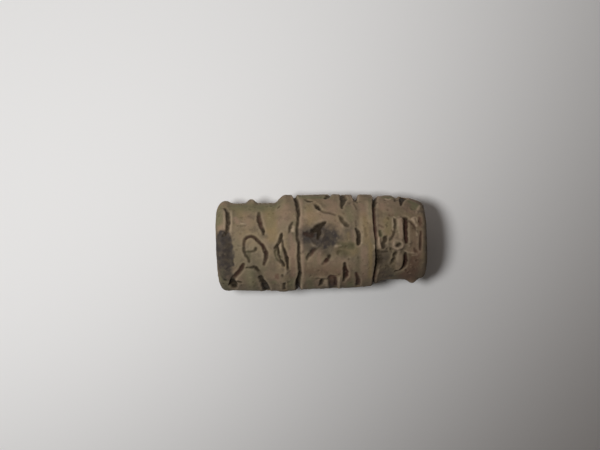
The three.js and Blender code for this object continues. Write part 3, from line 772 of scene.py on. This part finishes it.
# %% Around the figure
stand([(25.5, 26), (26.4, 30), (26.3, 21)], (0.5, 0.9, 0.6), 0.26, slope=0.5)
stand([(26.3, 21), (26.8, 13), (27.0, 6)], 0.4, 0.2, slope=0.4)
stand([(28.6, 60), (27.9, 50), (27.3, 40)], 0.6, 0.2, slope=0.7)
stand(BARB, 0.35, 0.14, slope=0.4)
cut([(28.1, 12), (28.0, 6), (27.9, -2), (27.8, -14)], (0.4, 0.6, 0.75, 0.55), 0.35, grime_and_shade=0.9)
cut([(28.1, 33), (28.1, 22)], (0.7, 0.5), 0.2, grime_and_shade=0.3)
cut([(26.2, -13), (26.6, -18)], (0.7, 1.0), 0.25, grime_and_shade=0.45)
cut([(24.4, 92), (24.2, 78), (23.6, 68), (23.3, 60), (23.0, 51)], (2.3, 2.3, 1.9, 1.2, 0.4), 0.8,
    grime_and_shade=1.0)
cut([(21.5, 66), (21.5, 59)], 0.45, 0.25, grime_and_shade=0.7)
cut([(21.6, 62), (22.9, 61)], 0.4, 0.22, grime_and_shade=0.6)
cut([(21.6, 28), (22.9, 28)], 0.4, 0.22, grime_and_shade=0.6)
swell((22.0, 96), (1.0, 6.0), -0.9)
swell((25.9, -86), (1.5, 3.2), 1.05)
swell((26.4, 51), (1.6, 2.6), -0.2)
print("last register cut to", round(clay["cut"].max(), 2), "mm")

# %% Colour on the last register
stain("grime_and_shade", [(25.2, 21), (25.9, 12)], 0.7, 0.28)
stain("grime_and_shade", [(24.6, -22), (24.6, -36)], 0.9, 0.4, soft=1.2)
stain("grime_and_shade", [(22.2, -14.5), (23.0, -15)], 0.7, 0.45)
stain("smoke_and_shade", [(17.8, -20), (18.1, -38), (18.4, -62)], (3.0, 3.6, 4.0), 0.6, soft=2.6)
# Painted shade: the rounded plus end, which turns away from the lamp, is darkened here with the smoke and
# grime stains.
stain("smoke_and_shade", [(29.6, 48), (29.5, 5), (29.5, -48)], 1.4, 0.5, soft=2.0)
stain("grime_and_shade", [(29.8, 44), (29.7, 5), (29.7, -44)], 0.8, 0.2, soft=1.2)
stain("pale", [(22.0, 27), (21.8, 17)], 0.9, 0.5)
stain("pink", [(22.3, 25), (22.6, 16), (22.6, 3)], 1.4, 1.1)
stain("pale", [(22.8, 19), (22.9, 9)], 0.5, 0.75, soft=0.6)
stain("pale", [(22.5, 6.5), (23.2, 3.5)], 0.3, 0.8, soft=0.4)
stain("pale", [(20.2, -6), (20.2, -11), (21.2, -14), (22.4, -12.5), (22.8, -8), (22.2, -4)], 0.35, 0.65,
      soft=0.4)
stain("pink", [(20.2, -4), (20.2, -11), (21.2, -14), (22.6, -12), (23.0, -7), (22.6, -1)], 0.9, 0.8,
      soft=0.8)
stain("pink", [(16.2, 4), (16.0, -4), (16.3, -10)], 1.0, 1.0)
stain("pale", [(16.2, 1), (16.1, -5), (16.4, -9)], 0.5, 0.8, soft=0.6)
stain("pale", [(25.9, 28), (26.6, 24), (26.9, 20)], 0.7, 1.3, soft=0.5)
stain("pale", [(26.0, 30), (26.9, 32.5), (27.2, 27)], 0.5, 1.1, soft=0.5)
stain("pink", [(25.5, 27), (26.5, 31), (26.8, 20)], 0.9, 1.0)
stain("pale", [(26.9, 14), (27.0, 6)], 0.4, 0.8, soft=0.6)
# Painted highlight: a short pale mark on the trunk's upper left edge.
stain("pale", [(20.6, 29), (21.2, 27.5)], 0.4, 1.0, soft=0.5)
stain("pale", [(20.3, 25), (20.2, 10)], 0.3, 0.8, soft=0.6)
stain("pale", WHISKER, 0.35, 0.5, soft=0.5)
stain("pale", BARB, 0.3, 0.6, soft=0.4)
stain("pale", [(28.6, 60), (27.9, 50), (27.4, 42)], 0.5, 0.7, soft=0.7)
stain("pale", [(18.8, 66), (19.6, 62), (20.3, 66)], 0.6, 1.1, soft=0.5)
stain("pink", [(21.9, -20), (22.0, -32), (21.2, -44)], (1.0, 1.2, 0.9), 0.35)
stain("green", [(25.8, 66), (27.5, 60), (26.6, 50)], 2.0, 1.0, soft=1.4)
stain("green", [(18.6, 72), (20.6, 68)], 1.6, 1.0)
stain("green", [(16.6, 10), (16.7, 5)], 1.2, 1.0)
stain("ochre", [(18.6, 24), (18.9, 8)], 2.2, 0.9, soft=1.4)
stain("green", [(18.6, 20), (19.0, 8)], 1.6, 0.4, soft=1.4)
stain("pink", [(17.6, 48), (19.6, 40)], 2.6, 0.8, soft=1.8)
stain("red", [(19.3, 32), (20.2, 32)], 0.8, 0.8)
stain("red", [(24.0, 26), (23.8, 8), (23.9, -4)], 1.0, 0.8)
stain("red", [(28.1, 33), (28.1, 20)], 1.0, 1.0)
stain("red", [(28.1, 12), (27.9, -14)], 0.8, 0.8)
stain("red", [(25.8, 20), (26.0, -18)], 3.0, 0.42, soft=2.4)
stain("pink", [(18.0, 54), (26.0, 44)], 4.0, 0.45, soft=4)
# Painted shade: the whole last register is darkened a little, for the lamp's light falling off towards this
# end.
stain("smoke_and_shade", [(23.5, 60), (23.5, -60)], 12, 0.13, soft=3)
stain("grime_and_shade", [(22.6, 44), (24.6, 38)], 1.6, 0.2, soft=2.0)
stain("red", [(26.2, -14), (26.6, -18)], 1.2, 0.8)
stain("red", [(26.4, -18), (26.0, -34), (25.4, -48), (24.4, -68)], (2.0, 3.4, 4.2, 5.0), 1.1, soft=3.0)
stain("red", [(23.5, -24), (23.5, -38), (22.0, -49)], 0.9, 0.8)
print("last register coloured")

# %% [markdown]
# ## Out of sight
#
# The back of the roll carries the same kinds of mark, laid out more plainly: a zigzag of wedges, a few
# standing bars, a rise and a hollow. The moves are the same, so it is mostly loops.

# %% Marks round the back
for number, angle in enumerate(range(104, 256, 19)):
    x = -19.5 + 1.6 * math.sin(2.1 * number)
    slant = 1.5 if number % 2 else -1.3
    cut([(x - 3.4, angle - slant * 2), (x, angle + slant), (x + 3.2, angle - slant * 3)],
        (0.5, 1.1, 0.7), 0.6)
for number, angle in enumerate(range(100, 262, 27)):
    x = 2.2 + 3.2 * math.cos(1.7 * number)
    cut([(x, angle - 6), (x + 0.7, angle), (x - 0.2, angle + 7)], (0.5, 1.2, 0.6), 0.7)
    cut([(x + 4.6, angle + 3), (x + 2.8, angle + 9)], (1.0, 0.5), 0.5)
for number, angle in enumerate(range(112, 250, 34)):
    x = 22.3 + 0.8 * math.sin(1.3 * number)
    stand([(x - 3, angle), (x, angle + 3), (x + 3, angle - 2)], (0.9, 1.6, 1.0), 0.55)
    cut([(x - 2.4, angle + 9), (x + 2.6, angle + 12)], (0.5, 0.9), 0.6)
swell((3, 132), (4.4, 2.4), 0.35)
swell((1, -122), (2.6, 2.8), -0.6)
stain("smoke_and_shade", [(-1, -124), (3, -118)], 3.6, 0.6, soft=3)
stain("smoke_and_shade", [(20, 140), (25, 146)], 3.0, 0.5, soft=3)
print("back done")

# %% [markdown]
# ## Adding it up, and wear
#
# The sheets now add up to one height. Handling rounds whatever stands proud and leaves hollows alone,
# so a copy of the height with its detail smoothed away tells them apart: points above the copy are
# worn and pale, and points below it hold dirt and are darkened as painted shade too. Smoothing here is
# nothing more than averaging each point with its neighbours a few times.

# %% Heights
def smoothed(field, rounds):
    """Each point averaged with its neighbours along and around, a number of times."""
    for _ in range(rounds):
        ahead, behind = np.roll(field, 1, axis=0), np.roll(field, -1, axis=0)
        beside = np.roll(field, 1, axis=1) + np.roll(field, -1, axis=1)
        field = (4 * field + ahead + behind + beside) / 8
    return field


SOFTEN, FLATTEN = 2, 22  # rounds of smoothing: for all of the clay, and for the copy to compare with
WORN_AT, HOLLOW_AT = 0.16, 0.34  # how far above or below the copy is fully worn or fully hollow
LUMPS_AT_ENDS = 0.6
LUMPS = 0.17 * unevenness(6.5, seed=3) + 0.07 * unevenness(2.4, seed=4, octaves=2)
SKIN = 0.022 * unevenness(0.75, seed=5, octaves=2)
carved = clay["swell"] + clay["stand"] + clay["lip"] - clay["cut"]
height = smoothed(carved + LUMPS * np.where(on_clay, 1, LUMPS_AT_ENDS)[:, None], SOFTEN) + SKIN
broad = smoothed(height, FLATTEN)
stains["worn"] = np.clip((height - broad) / WORN_AT, 0, 1)
# The hollow stain darkens the clay below the copy: dirt, with painted shade in the hollows.
stains["hollow"] = np.clip((broad - height) / HOLLOW_AT, 0, 1)
print("heights from", round(height.min(), 2), "to", round(height.max(), 2), "mm")

# %% [markdown]
# ## The mesh
#
# Each point of the sheet is moved out along the outline's own slope, wandered sideways, and set down
# on the paper. The roll rests on a small flat, so nothing is let below it. The inside of the hole stays
# nearly true: it was made by a rod. The map for the texture is the sheet itself, unrolled, with little
# room given to the hole.

# %% Build the roll
HOLE_AND_MOUTH = HOLE_RADIUS + 0.4
CALM = 0.25  # how much of the unevenness is left in the hole
WANDER_IN = 5  # how far out from the hole the sideways wander is full
in_hole = row_r < HOLE_AND_MOUTH
height[in_hole] *= CALM
share_out = np.clip((row_r - HOLE_RADIUS) / WANDER_IN, 0, 1)
wander = np.interp(row_x, *zip(*WANDER)) * share_out
x = sheet_x + row_out[:, :1] * height
r = row_r[:, None] + row_out[:, 1:] * height
x = np.clip(x, -DRAWN_LENGTH / 2, DRAWN_LENGTH / 2)
y = wander[:, None] + r * np.sin(sheet_angle)
z = r * np.cos(sheet_angle)
places = np.stack([x * MM, y * MM + hole_axis.y, np.maximum(z * MM + hole_axis.z, 0)], axis=-1)

row, column = np.meshgrid(np.arange(ROWS), np.arange(COLUMNS), indexing="ij")
next_row, next_column = (row + 1) % ROWS, (column + 1) % COLUMNS
quads = [(row, column), (next_row, column), (next_row, next_column), (row, next_column)]
faces = np.stack([a * COLUMNS + b for a, b in quads], axis=-1).reshape(-1, 4)

roll_mesh = bpy.data.meshes.new("clay_roll")
roll_mesh.from_pydata(places.reshape(-1, 3).tolist(), [], faces.tolist())
roll_mesh.polygons.foreach_set("use_smooth", np.ones(len(faces), bool))
roll = bpy.data.objects.new("clay_roll", roll_mesh)
bpy.context.scene.collection.objects.link(roll)
print(len(roll_mesh.vertices), "points,", 2 * len(faces), "triangles")

# %% Map and stains on the mesh
HOLE_SHARE = 0.08  # how much room the inside of the hole gets on the map
EDGE = 0.004  # the margin left free round the map
room = np.diff(np.append(rows_at, rows_at[-1] + 2 * BARE_HOLE)) * np.where(in_hole, HOLE_SHARE, 1)
across = EDGE + (1 - 2 * EDGE) * np.concatenate([[0], np.cumsum(room)]) / room.sum()
up = np.linspace(EDGE, 1 - EDGE, COLUMNS + 1)
corner_places = [(row, column), (row + 1, column), (row + 1, column + 1), (row, column + 1)]
unrolled = np.stack([np.stack([across[a], up[b]], axis=-1) for a, b in corner_places], axis=2)
unrolled_map = roll_mesh.uv_layers.new(name="OFBake")
unrolled_map.data.foreach_set("uv", unrolled.ravel())

for name, field in stains.items():
    layer = roll_mesh.attributes.new(name, "FLOAT", "POINT")
    layer.data.foreach_set("value", np.clip(field, 0, 1).astype(np.float32).ravel())
print("stains:", ", ".join(stains))

# %% [markdown]
# ## Pits and grit
#
# River clay is full of sand. Some grains stand out of the surface and others have dropped out and left
# pits, hundreds of them, with no order. That is work for Geometry Nodes: points are scattered over the
# clay, each vertex looks up the point nearest to it, and it is moved if it is closer than that point's
# size. A depth under zero sinks pits and one above zero raises grains, so one tree serves for both,
# used twice with different seeds. How strongly a vertex was moved is kept as an attribute, for the
# finish to read.

# %% The scattering tree
def scatter_tree(name, kept_as):
    """A tree that dents the mesh round scattered points and stores how far into a dent each vertex is."""
    tree = bpy.data.node_groups.new(name, "GeometryNodeTree")
    sockets = {}
    for label, kind, side in (
        ("Geometry", "NodeSocketGeometry", "INPUT"),
        ("Count per cm2", "NodeSocketFloat", "INPUT"),
        ("Smallest", "NodeSocketFloat", "INPUT"),
        ("Largest", "NodeSocketFloat", "INPUT"),
        ("Depth", "NodeSocketFloat", "INPUT"),
        ("Seed", "NodeSocketInt", "INPUT"),
        ("Finish", "NodeSocketMaterial", "INPUT"),
        ("Dented", "NodeSocketGeometry", "OUTPUT"),
    ):
        sockets[label] = tree.interface.new_socket(name=label, in_out=side, socket_type=kind)

    def add(kind, **settings):
        made = tree.nodes.new(kind)
        for setting, value in settings.items():
            setattr(made, setting, value)
        return made

    def join(*pairs):
        for out, into in pairs:
            tree.links.new(out, into)

    given, result = add("NodeGroupInput"), add("NodeGroupOutput")
    density = add("ShaderNodeMath", operation="MULTIPLY")
    density.inputs[1].default_value = 1e4  # square centimetres in a square metre
    points = add("GeometryNodeDistributePointsOnFaces", distribute_method="RANDOM")
    join(
        (given.outputs["Count per cm2"], density.inputs[0]),
        (given.outputs["Geometry"], points.inputs["Mesh"]),
        (density.outputs[0], points.inputs["Density"]),
        (given.outputs["Seed"], points.inputs["Seed"]),
    )
    size = add("FunctionNodeRandomValue", data_type="FLOAT")
    join(
        (given.outputs["Smallest"], size.inputs[2]),
        (given.outputs["Largest"], size.inputs[3]),
        (given.outputs["Seed"], size.inputs["Seed"]),
    )
    spot = add("GeometryNodeInputPosition")
    nearest = add("GeometryNodeSampleNearest", domain="POINT")
    its_place = add("GeometryNodeSampleIndex", data_type="FLOAT_VECTOR", domain="POINT")
    its_size = add("GeometryNodeSampleIndex", data_type="FLOAT", domain="POINT")
    join(
        (points.outputs["Points"], nearest.inputs["Geometry"]),
        (points.outputs["Points"], its_place.inputs["Geometry"]),
        (points.outputs["Points"], its_size.inputs["Geometry"]),
        (spot.outputs[0], its_place.inputs["Value"]),
        (size.outputs[1], its_size.inputs["Value"]),
        (nearest.outputs["Index"], its_place.inputs["Index"]),
        (nearest.outputs["Index"], its_size.inputs["Index"]),
    )
    away = add("ShaderNodeVectorMath", operation="DISTANCE")
    inside = add("ShaderNodeMapRange", interpolation_type="SMOOTHSTEP")
    inside.inputs["To Min"].default_value = 1.0
    inside.inputs["To Max"].default_value = 0.0
    join(
        (spot.outputs[0], away.inputs[0]),
        (its_place.outputs[0], away.inputs[1]),
        (away.outputs["Value"], inside.inputs["Value"]),
        (its_size.outputs[0], inside.inputs["From Max"]),
    )
    normal = add("GeometryNodeInputNormal")
    sink = add("ShaderNodeMath", operation="MULTIPLY")
    shift = add("ShaderNodeVectorMath", operation="SCALE")
    move = add("GeometryNodeSetPosition")
    store = add("GeometryNodeStoreNamedAttribute", data_type="FLOAT", domain="POINT")
    store.inputs["Name"].default_value = kept_as
    realize = add("GeometryNodeRealizeInstances")
    dress = add("GeometryNodeSetMaterial")
    join(
        (inside.outputs["Result"], sink.inputs[0]),
        (given.outputs["Depth"], sink.inputs[1]),
        (normal.outputs[0], shift.inputs[0]),
        (sink.outputs[0], shift.inputs["Scale"]),
        (given.outputs["Geometry"], store.inputs["Geometry"]),
        (inside.outputs["Result"], store.inputs["Value"]),
        (store.outputs[0], move.inputs["Geometry"]),
        (shift.outputs[0], move.inputs["Offset"]),
        (move.outputs[0], realize.inputs[0]),
        (realize.outputs[0], dress.inputs["Geometry"]),
        (given.outputs["Finish"], dress.inputs["Material"]),
        (dress.outputs[0], result.inputs[0]),
    )
    return tree, {label: socket.identifier for label, socket in sockets.items()}


print("scattering tree ready")

# %% [markdown]
# ## The finish
#
# Fired river clay is matt and never one colour. Where air reached it in the fire it is tan to ochre,
# where smoke lay against it dark grey. Handling leaves the high places pale and the hollows full of
# dark dirt. Painted shade is laid in the hollows and trenches with that dirt, and on the plus end and
# the last register with the smoke; a few pale marks are painted highlights. All of that is already on
# the mesh as stains, so the material only has to mix colours by them, over a base that drifts slowly
# between tan, ochre and olive, with rosy and dusky mottling. A light and a dark speckle stand for sand,
# and a fine bump gives the dry, sugary skin.

# %% Clay colours
TAN, OCHRE, OLIVE = (0.210, 0.162, 0.105), (0.250, 0.186, 0.108), (0.166, 0.145, 0.086)
EARTH, SOOT_AND_SHADE, CHALK = (0.024, 0.016, 0.008), (0.048, 0.040, 0.036), (0.520, 0.405, 0.285)
BRICK, MOSS, SAND = (0.150, 0.080, 0.055), (0.154, 0.152, 0.078), (0.380, 0.310, 0.220)
ROSE, HONEY, RUST = (0.300, 0.200, 0.142), (0.262, 0.190, 0.092), (0.052, 0.020, 0.014)
DUSK = (0.105, 0.080, 0.058)

fired = bpy.data.materials.new("fired_clay")
fired.use_nodes = True
shading = fired.node_tree
shader = shading.nodes["Principled BSDF"]
where = shading.nodes.new("ShaderNodeTexCoord").outputs["Object"]


def speckle(size_mm, detail=2.0, roughness=0.5):
    """Noise with lumps of a size in millimetres, read at the object's own coordinates."""
    made = shading.nodes.new("ShaderNodeTexNoise")
    made.inputs["Scale"].default_value = 1 / (size_mm * MM)
    made.inputs["Detail"].default_value = detail
    made.inputs["Roughness"].default_value = roughness
    shading.links.new(where, made.inputs["Vector"])
    return made.outputs[0]


def ranged(value, low_in, high_in, low_out=0.0, high_out=1.0):
    """A value stretched from one range to another, and held inside it."""
    made = shading.nodes.new("ShaderNodeMapRange")
    limits = {"From Min": low_in, "From Max": high_in, "To Min": low_out, "To Max": high_out}
    for label, number in limits.items():
        made.inputs[label].default_value = number
    shading.links.new(value, made.inputs["Value"])
    return made.outputs["Result"]


def times(a, b):
    """One value multiplied by another, where either may be a plain number."""
    made = shading.nodes.new("ShaderNodeMath")
    made.operation = "MULTIPLY"
    for value, socket in ((a, made.inputs[0]), (b, made.inputs[1])):
        if isinstance(value, (int, float)):
            socket.default_value = value
        else:
            shading.links.new(value, socket)
    return made.outputs[0]


def stained(name):
    """A stain of the mesh, as a value from 0 to 1."""
    made = shading.nodes.new("ShaderNodeAttribute")
    made.attribute_name = name
    return made.outputs["Fac"]


def over(under, colour, share):
    """A colour, or another mixture, laid over what is there."""
    made = shading.nodes.new("ShaderNodeMix")
    made.data_type = "RGBA"
    shading.links.new(share, made.inputs["Factor"])
    for value, socket in ((under, made.inputs[6]), (colour, made.inputs[7])):
        if isinstance(value, tuple):
            socket.default_value = (*value, 1)
        else:
            shading.links.new(value, socket)
    return made.outputs[2]


print("thirteen clay colours")

# %% Mix them
colour = over(TAN, OCHRE, ranged(speckle(7, 3), 0.45, 0.72))
colour = over(colour, OLIVE, ranged(speckle(11, 4), 0.48, 0.75, 0, 0.8))
colour = over(colour, ROSE, ranged(speckle(5, 3), 0.52, 0.74, 0, 0.6))
colour = over(colour, DUSK, ranged(speckle(3.2, 4, 0.6), 0.50, 0.72, 0, 0.75))
colour = over(colour, HONEY, times(stained("ochre"), 0.7))
colour = over(colour, ROSE, times(stained("pink"), 0.7))
colour = over(colour, MOSS, times(stained("green"), 0.75))
colour = over(colour, BRICK, times(stained("red"), 0.7))
colour = over(colour, CHALK, times(stained("worn"), 0.24))
# Pale flakes and chips; two of these pale marks are painted highlights on raised edges.
colour = over(colour, CHALK, times(stained("pale"), 0.65))
# Smoke lays dark grey on the clay; the same stain is painted shade on the plus end and over the last
# register.
colour = over(colour, SOOT_AND_SHADE, times(stained("smoke_and_shade"), ranged(speckle(1.6, 4), 0.3, 0.6, 0.72, 1.0)))
# The dark colour for the trenches and the hollows: dirt, and painted shade there.
dirt_and_shade = over(EARTH, RUST, stained("red"))
colour = over(colour, dirt_and_shade, times(stained("hollow"), 0.62))
colour = over(colour, dirt_and_shade, times(stained("grime_and_shade"), ranged(speckle(0.9, 2), 0.3, 0.6, 0.82, 1.0)))
colour = over(colour, EARTH, times(stained("pits"), 0.3))
colour = over(colour, SAND, times(stained("grains"), 0.18))
colour = over(colour, SAND, ranged(speckle(0.22, 1), 0.70, 0.82, 0, 0.35))
colour = over(colour, EARTH, ranged(speckle(0.3, 2), 0.60, 0.80, 0, 0.4))
shading.links.new(colour, shader.inputs["Base Color"])
print("colours laid over each other")

# %% Skin
SKIN_BUMP = 0.12 * MM
skin = shading.nodes.new("ShaderNodeBump")
skin.inputs["Strength"].default_value = 0.55
skin.inputs["Distance"].default_value = SKIN_BUMP
shading.links.new(speckle(0.45, 5, 0.65), skin.inputs["Height"])
shading.links.new(skin.outputs["Normal"], shader.inputs["Normal"])
shading.links.new(ranged(speckle(2.5, 3), 0.3, 0.7, 0.82, 0.96), shader.inputs["Roughness"])
shader.inputs["Specular IOR Level"].default_value = 0.25
print(len(shading.nodes), "nodes in the finish")

# %% [markdown]
# ## Scatter, and make it plain
#
# The modifiers get their sizes by the sockets' identifiers, before Blender works them out. The evaluated
# object is then turned into a plain mesh, so that nothing live is left on the finished piece. Grains
# under the roll would lift it off its flat, and grains on its ends would make it longer, so both are
# pressed level again.

# %% Dent the roll
def dented(piece, name, kept_as, **sizes):
    """The piece's mesh after a scattering, as plain data."""
    tree, identifiers = scatter_tree(name, kept_as)
    modifier = piece.modifiers.new(name, "NODES")
    modifier.node_group = tree
    for label, value in sizes.items():
        modifier[identifiers[label.replace("_", " ")]] = value
    modifier[identifiers["Finish"]] = fired
    evaluated = piece.evaluated_get(bpy.context.evaluated_depsgraph_get())
    shaped = bpy.data.meshes.new_from_object(evaluated)
    piece.modifiers.clear()
    return shaped


roll.data = dented(roll, "pits", "pits", Count_per_cm2=6.0, Smallest=0.25 * MM, Largest=0.7 * MM,
                   Depth=-0.24 * MM, Seed=11)
roll.data = dented(roll, "grains", "grains", Count_per_cm2=16.0, Smallest=0.2 * MM, Largest=0.5 * MM,
                   Depth=0.13 * MM, Seed=29)
print(len(roll.data.vertices), "points, dented and raised")

# %% Press it level
settled = np.empty(3 * len(roll.data.vertices))
roll.data.vertices.foreach_get("co", settled)
settled[2::3] = np.maximum(settled[2::3], 0)
settled[0::3] = np.clip(settled[0::3], low.x, high.x)
roll.data.vertices.foreach_set("co", settled)
roll.data.update()
roll.name = roll.data.name = "clay_roll"
print(len(roll.data.polygons), "faces; attributes", [a.name for a in roll.data.attributes][:12])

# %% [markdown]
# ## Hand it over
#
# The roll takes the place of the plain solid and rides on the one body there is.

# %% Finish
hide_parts("seal")
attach(roll, "root")
